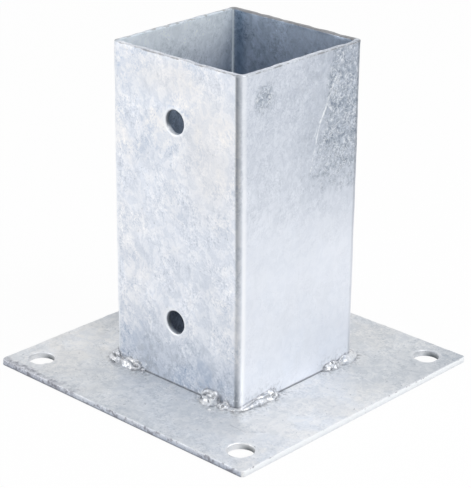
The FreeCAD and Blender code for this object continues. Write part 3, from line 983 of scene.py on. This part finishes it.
# %% Groups of frost, torn outlines and lines
def zinc_frost():
    """Group: frozen grains; a level from 0, dark, to 1, pale, and a height."""
    tree, given, out = new_group("zinc_frost", {"Position": (0, 0, 0), "Size": 0.0016}, ("Level", "Height"))
    bent = bent_position(given["Position"], 2.2 * MM, 2.5 * MM)
    grains = add(tree, "TexVoronoi", {"Vector": bent, "Scale": 1 / given["Size"]})
    random = add(tree, "SeparateColor", {0: grains["Color"]})[0]
    fine = remap(noise(bent, given["Size"], 4.0, 0.7), 0.3, 0.7)
    level = random * 0.25 + fine * 0.6 + veins(bent, 3.0 * MM, 0.03) * 0.45
    level.to(out["Level"])
    (level - grains["Distance"]).to(out["Height"])
    return tree


def torn_outline():
    """Group: cut a smooth share off at an uneven level; 1 inside, 0 outside, with an edge this soft."""
    tree, given, out = new_group("torn_outline", {
        "Position": (0, 0, 0), "Share": 0.0, "Level": 0.2, "Ragged": 0.5, "Size": 0.006, "Soft": 0.1},
        ("Mask",))
    uneven = (noise(given["Position"], given["Size"], 4.0, 0.65) - 0.5) * given["Ragged"] * 4.0
    over = given["Share"] + uneven - given["Level"]
    (over / given["Soft"]).held().to(out["Mask"])
    return tree


def drawn_line():
    """Group: a wavering line from one point to another; 1 on it, fading to 0 at its half width.

    The nearest point of the line is start + t * (end - start), where t is the projection of the
    position on it, held between 0 and 1.
    """
    tree, given, out = new_group("drawn_line", {
        "Position": (0, 0, 0), "Start": (0, 0, 0), "End": (0, 0, 0), "Width": 0.0005}, ("Mask",))
    bent = bent_position(given["Position"], 5 * MM, 1.5 * MM)
    away, whole = (vector("SUBTRACT", place, given["Start"]) for place in (bent, given["End"]))
    share = (vector("DOT_PRODUCT", away, whole) / vector("DOT_PRODUCT", whole, whole)).held()
    distance = vector("DISTANCE", away, vector("SCALE", whole, share))
    broken = remap(noise(given["Position"], 2.5 * MM), 0.35, 0.5)
    ((1 - distance / given["Width"]).held() * broken).to(out["Mask"])
    return tree


frost_group, torn_group, line_group = zinc_frost(), torn_outline(), drawn_line()
print("groups:", [group.name for group in bpy.data.node_groups])

# %% [markdown]
# Each material is one Principled shader. The zinc is a metal with a dull skin: half metallic, and rough.
# What varies over the surface feeds Base Color, Roughness and Normal; the rest is set on the shader.

# %% Material helpers
METALLIC = 0.5


def new_material(name):
    """A material with nodes, its shader, and the position that its patterns read."""
    material = bpy.data.materials.new(name)
    material.use_nodes = True
    shader = material.node_tree.nodes["Principled BSDF"]
    shader.inputs["Metallic"].default_value = METALLIC
    return material, shader, add(material.node_tree, "TexCoord")["Object"]


def torn(position, share, level, ragged, size, soft):
    """Ragged mask of a share, or of the mark of that name, from the torn_outline group; the size is in mm."""
    share = mark(position.tree, share) if isinstance(share, str) else share
    settings = {"Share": share, "Level": level, "Ragged": ragged, "Size": size * MM, "Soft": soft}
    return use(torn_group, position, **settings)["Mask"]


def lines(position, drawn):
    """Highest of several drawn lines, each (start, end, half width) in mm."""
    masks = [use(line_group, position, Start=np.multiply(start, MM), End=np.multiply(end, MM),
                 Width=width * MM)["Mask"] for start, end, width in drawn]
    return functools.reduce(Wire.at_least, masks)


def frosted(skin, position, size, dark, pale, level, soft, strength, relief):
    """Frozen grains of a size in mm over the skin, inside the torn outline of the frost mark.

    Returns the colour, the mask of the frost and the height.
    """
    grains = use(frost_group, position, Size=size * MM)
    mask = torn(position, "frost", level, 0.45, 5.0, soft)
    color = mix(mask * strength, skin["Color"], mix(grains["Level"], (*dark, 1), (*pale, 1)))
    return color, mask, grains["Height"] * mask * relief + skin["Height"]


def sooty(color, position, strength):
    """Beside the welds: a painted shade along the toe, then grey specks of burnt zinc and a few bright ones.
    """
    toe = mark(color.tree, "toe") * remap(noise(position, 3.0 * MM), 0.40, 0.58, 0.15, 1.0)
    specks, soot = noise(position, 1.6 * MM, 3.0, 0.7), mark(color.tree, "soot")
    return paint(color, (toe, 0.8, (0.15, 0.16, 0.18)),
                 (remap(specks, 0.50, 0.60) * soot, strength, (0.30, 0.31, 0.33)),
                 (remap(specks, 0.42, 0.34) * soot, 0.8, (0.92, 0.93, 0.95)))


def finish_surface(shader, color, roughness, height, bump):
    """Lead a colour, a roughness and a height, as bumps this deep, to the shader."""
    color.to(shader.inputs["Base Color"])
    roughness.to(shader.inputs["Roughness"])
    normal = add(color.tree, "Bump", {"Height": height, "Strength": 1.0, "Distance": bump})[0]
    normal.to(shader.inputs["Normal"])


# %% [markdown]
# On the sleeve the skin is veined and bright in front and calm on the lower right. Down each fold a
# painted shade darkens one side and a painted highlight brightens the other, and inside the sleeve
# painted light and painted shade are laid over the zinc.

# %% Finish of the sleeve
FOLD_SHADES = [             # (place across the fold in half widths, brightness left by the painted shade)
    (-2.0, 1.0), (-1.15, 1.0), (-0.95, 0.66), (-0.80, 0.40), (-0.62, 0.42), (-0.35, 0.62), (-0.05, 0.84),
    (0.2, 1.0)]
# where across the fold the painted highlight lies: (place, strength)
FOLD_HIGHLIGHT_CURVE = [(-0.05, 0.0), (0.25, 1.0), (0.5, 1.0), (1.05, 0.0)]
SLANTED_LINE = [            # pieces of the bright line at the crystals' end: (from, to, half width) in mm
    ((38, 22.1, 142.9), (38, 10.1, 120.2), 0.7), ((38, 10.1, 120.2), (38, 5.3, 100.0), 0.5),
    ((38, 19.1, 136.9), (38, 7.1, 116.2), 0.3)]


def curve(value, stops, reach=2.0):
    """A curve through (value, height) stops, as a ramp over -reach to reach."""
    ramp = add(value.tree, "ValToRGB", {0: value * (0.5 / reach) + 0.5})[0]
    elements = ramp.socket.node.color_ramp.elements
    elements.remove(elements[1])
    for number, (place, height) in enumerate(stops):
        element = elements[0] if number == 0 else elements.new(place / reach / 2 + 0.5)
        element.position = place / reach / 2 + 0.5
        element.color = (height, height, height, 1)
    return add(value.tree, "SeparateColor", {0: ramp})[0]


def sleeve_finish():
    """Material of the sleeve."""
    material, shader, position = new_material("sleeve_zinc")
    marks = {name: mark(position.tree, name) for name in
             ("calm", "warm", "tone", "wisps", "fold", "crease", "ridge", "lit", "lip", "seam")}
    calm = 1 - marks["calm"] * 0.75
    skin = use(skin_group, position, Pale=(0.812, 0.85, 0.925, 1), Dull=(0.62, 0.66, 0.732, 1),
               Warm=(0.86, 0.856, 0.862, 1), Contrast=calm, Warmth=marks["warm"], Specks=calm * 0.5,
               Tone=marks["tone"] * 0.8)
    color, frost, height = frosted(skin, position, 1.7, dark=(0.12, 0.16, 0.22), pale=(0.66, 0.71, 0.79),
                                   level=0.06, soft=0.5, strength=0.85, relief=1.4)
    ragged = remap(noise(position, 3.0 * MM), 0.40, 0.55, 0.25, 1.0)
    color = paint(color, (veins(position, 3.8 * MM, 0.035) * frost, 0.6, (0.93, 0.95, 0.98)),
                  (veins(position, 4.0 * MM, 0.05) * marks["wisps"], 0.30, (0.33, 0.38, 0.48)),
                  ("cream", 0.4, (0.74, 0.72, 0.705)),
                  (lines(position, SLANTED_LINE) * ragged, 0.9, (0.94, 0.96, 0.98)),
                  # painted shade and painted highlight down the folds, then painted light inside the sleeve
                  ((1 - curve(marks["fold"], FOLD_SHADES)) * marks["crease"], 1.0, (0.02, 0.03, 0.04)),
                  (curve(marks["fold"], FOLD_HIGHLIGHT_CURVE) * marks["ridge"], 0.85, (0.95, 0.97, 1.0)),
                  (marks["lit"], 0.5, (0.86, 0.96, 1.0)))
    # painted shade, mostly inside the sleeve, and the darker sawn rim
    color = paint(color, ("shade", 1.0, (0.30, 0.395, 0.50)), blend="MULTIPLY")
    thin = marks["lip"] * remap(noise(position, 6 * MM), 0.35, 0.6, 0.3, 1.0)
    color = paint(color, ("edge", 0.55, (0.92, 0.94, 0.96)),
                  (torn(position, "grime", 0.55, 0.5, 4.0, 0.3), 0.7, (0.17, 0.15, 0.13)),
                  (thin, 0.45, (0.30, 0.32, 0.35)),
                  (torn(position, marks["lip"], 0.8, 0.6, 4.5, 0.25), 0.7, (0.19, 0.19, 0.20)))
    # painted shade in the bolt holes and along the sleeve's foot
    color = paint(sooty(color, position, 0.35), ("bore", 0.9, (0.12, 0.15, 0.18)),
                  (remap(marks["seam"], 0.8, 1.0), 0.6, (0.20, 0.22, 0.25)))
    # where light is painted inside, the zinc is made less metallic
    (marks["lit"] * -0.4 + METALLIC).to(shader.inputs["Metallic"])
    finish_surface(shader, color, remap(skin["Level"], 0.0, 1.0, 0.48, 0.36), height, 0.05 * MM)
    return material


# %% [markdown]
# The plate hung almost level in the bath, so its skin is greyer and smoother. It is palest where it
# drained, dark with crystals along one edge, and has painted shade inside the holes on the side away
# from the light. The right side face is painted light, with a little painted shade low down, and the
# other side faces carry painted shade.

# %% Finish of the plate
DRIP = [                    # edge of the zinc that ran past the front hole
    ((43.6, -49.1, 3), (52.4, -49.2, 3), 0.6), ((52.4, -49.2, 3), (58.5, -43.4, 3), 0.6)]


def plate_finish():
    """Material of the plate."""
    material, shader, position = new_material("plate_zinc")
    tone, seam = mark(position.tree, "tone"), mark(position.tree, "seam")
    skin = use(skin_group, position, Pale=(0.77, 0.795, 0.83, 1), Dull=(0.545, 0.578, 0.62, 1),
               Warm=(0.76, 0.765, 0.77, 1), Contrast=0.62, Warmth=0.85, Specks=0.9, Tone=tone * 0.7)
    color, _, height = frosted(skin, position, 1.6, dark=(0.13, 0.14, 0.18), pale=(0.74, 0.76, 0.82),
                               level=0.30, soft=0.4, strength=0.9, relief=1.6)
    color = paint(color, (lines(position, DRIP), 0.6, (0.34, 0.36, 0.40)))
    # painted shade on the side faces, then painted light on the right one
    color = paint(color, ("shade", 1.0, (0.40, 0.46, 0.59)), blend="MULTIPLY")
    color = paint(color, ("clean", 1.0, (0.95, 0.98, 1.0)), ("edge", 0.25, (0.86, 0.87, 0.90)),
                  (torn(position, "lip", 0.85, 0.5, 3.5, 0.25), 0.8, (0.16, 0.16, 0.19)))
    # painted shade in the anchor holes, round the sleeve's foot and along the foot of the side faces
    color = paint(sooty(color, position, 0.6), ("bore", 0.95, (0.05, 0.065, 0.08)),
                  (remap(seam, 0.75, 0.95), 0.72, (0.18, 0.19, 0.22)))
    finish_surface(shader, color, remap(skin["Level"], 0.0, 1.0, 0.52, 0.40), height, 0.05 * MM)
    return material


# %% [markdown]
# A bead's skin is brighter than the sheet's and breaks up the light more. Its valleys and pits are
# painted nearly black, and a painted shade runs along its toe. The mark for them comes from the mesh, so
# dark always lies in a dip.

# %% Finish of the welds
def weld_finish():
    """Material of the four welds."""
    material, shader, position = new_material("weld_zinc")
    skin = use(skin_group, position, Pale=(0.84, 0.85, 0.88, 1), Dull=(0.56, 0.59, 0.64, 1),
               Warm=(0.82, 0.83, 0.81, 1), Contrast=0.8, Warmth=0.4, Specks=0.4)
    specks = remap(noise(position, 1.2 * MM, 3.0, 0.7), 0.58, 0.68)
    # dark paint in the valleys and pits, and painted shade along the toe
    color = paint(skin["Color"], ("hollow", 0.85, (0.12, 0.13, 0.15)), (specks, 0.5, (0.24, 0.26, 0.29)))
    finish_surface(shader, color, remap(skin["Level"], 0.0, 1.0, 0.42, 0.26), skin["Height"], 0.10 * MM)
    return material


finishes = {"sleeve_zinc": sleeve_finish(), "plate_zinc": plate_finish(), "weld_zinc": weld_finish()}
print("materials:", sorted(finishes))

# %% [markdown]
# ## Put the pieces on the frame
#
# Each new piece stands for its CAD node, which is hidden, rides on the part's one body, and takes the
# finish given for it.

# %% Fit to the frame
def fit(piece, node, finish):
    """Give a piece its finish and its body, and hide the CAD node that it stands for."""
    piece.data.materials.append(finishes[finish])
    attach(piece, "root")
    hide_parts(node)


fit(sleeve, "post_socket", "sleeve_zinc")
fit(plate, "base_plate", "plate_zinc")
for node, weld in welds.items():
    fit(weld, node, "weld_zinc")

# %% [markdown]
# ## Floor, light and camera
#
# The floor is pale and mostly shows its own white to the camera, so that the object's shadow stays but
# is faint. Seen from below it is clear, so that the plate's underside can be looked at too.

# %% Floor
FLOOR_REACH = 6.0           # metres from the middle to each side of the floor


def seen_plainly(tree):
    """1 for a ray from the camera, a mirror or glass, and 0 for one that only carries light."""
    path = add(tree, "LightPath")
    return path["Is Camera Ray"].at_least(path["Is Glossy Ray"].at_least(path["Is Transmission Ray"]))


def make_floor():
    """A white floor just below the plate, clear from underneath."""
    corners = FLOOR_REACH * np.array([(-1, -1), (1, -1), (1, 1), (-1, 1)])
    points = np.column_stack([corners, np.full(4, plate_low.z - 0.1 * MM)])
    floor = new_piece("studio_floor", points, np.array([[0, 1, 2, 3]]), {})
    material = bpy.data.materials.new("studio_white")
    material.use_nodes = True
    tree = material.node_tree
    shader = tree.nodes["Principled BSDF"]
    shader.inputs["Base Color"].default_value = (0.93, 0.93, 0.93, 1)
    shader.inputs["Roughness"].default_value = 0.9
    shader.inputs["Specular IOR Level"].default_value = 0.0
    white = add(tree, "Emission", {"Color": (1, 1, 1, 1), "Strength": 1.0})[0]
    seen, matt = seen_plainly(tree), Wire(tree, shader.outputs[0])
    lit = add(tree, "MixShader", {0: seen * 0.96, 1: matt, 2: white})[0]
    clear, under = add(tree, "BsdfTransparent")[0], add(tree, "NewGeometry")["Backfacing"]
    shown = add(tree, "MixShader", {0: under, 1: lit, 2: clear})[0]
    shown.to(tree.nodes["Material Output"].inputs["Surface"])
    floor.data.materials.append(material)


make_floor()

# %% [markdown]
# Two soft lamps in a white room light it: a weak one low on the left, which keeps the front wall even,
# and a higher one on the right, which brightens the right wall towards its foot. The room is plain white
# to the eye and in reflections, but lights matt surfaces at about half of that, so the inside of the
# sleeve stays dark.

# %% World and lamps
AMBIENT = 0.55              # how strongly the white room lights matt surfaces
LAMP_DISTANCE, LAMP_SIZE = 1.3, 0.8     # metres


def make_world():
    """A white room all round."""
    world = bpy.data.worlds.new("white_room")
    world.use_nodes = True
    bpy.context.scene.world = world
    tree = world.node_tree
    background = tree.nodes["Background"].inputs
    strength = add(tree, "MapRange", {"Value": seen_plainly(tree), "To Min": AMBIENT, "To Max": 1.0})[0]
    strength.to(background["Strength"])
    background["Color"].default_value = (1, 1, 1, 1)


def aim(thing, azimuth, elevation, distance, target, roll=0.0):
    """Stand a lamp or a camera off from its target and point its -Z axis at it.

    Azimuth 0 is in front, at -Y, and 90 is at +X. The thing's own axes are the columns of a matrix: level
    to its right, up, and back from the target; a roll turns the first two about the third.
    """
    a, e, roll = (math.radians(angle) for angle in (azimuth, elevation, roll))
    back = np.array([math.sin(a) * math.cos(e), -math.cos(a) * math.cos(e), math.sin(e)])
    level = np.array([math.cos(a), math.sin(a), 0])
    right = math.cos(roll) * level + math.sin(roll) * np.cross(back, level)
    columns = np.eye(4)
    columns[:, :3] = [right, np.cross(back, right), back, np.array(target) + back * distance]
    thing.matrix_world = columns.tolist()
    bpy.context.scene.collection.objects.link(thing)


def add_softbox(name, azimuth, elevation, power):
    """A square lamp of so many watts that looks at the sleeve's middle."""
    lamp = bpy.data.lights.new(name, "AREA")
    lamp.shape, lamp.size, lamp.energy = "SQUARE", LAMP_SIZE, power
    aim(bpy.data.objects.new(name, lamp), azimuth, elevation, LAMP_DISTANCE, (0, 0, rim / 2))


make_world()
add_softbox("key_softbox", -30, 10, power=6.0)
add_softbox("side_softbox", 100, 47, power=8.0)
print("lamps:", [lamp.name for lamp in bpy.data.lights])

# %% [markdown]
# The camera looks down a little, with one fold of the sleeve nearly in the middle. A long lens from
# under a metre away gives the mild perspective of a product view, and the slight roll levels it.

# %% Camera
CAMERA_AZIMUTH, CAMERA_ELEVATION, CAMERA_ROLL = 43.0, 22.49, 0.57     # degrees
CAMERA_DISTANCE, CAMERA_LENS = 0.8305, 137.8                          # metres, millimetres
CAMERA_TARGET = (0, 0, 0.0588)


def make_camera():
    """The camera of the product view."""
    camera = bpy.data.objects.new("camera", bpy.data.cameras.new("camera"))
    camera.data.lens = CAMERA_LENS
    aim(camera, CAMERA_AZIMUTH, CAMERA_ELEVATION, CAMERA_DISTANCE, CAMERA_TARGET, CAMERA_ROLL)
    bpy.context.scene.camera = camera
    print("camera at", [round(place, 3) for place in camera.location])


make_camera()
bpy.context.scene.view_settings.view_transform = "Standard"
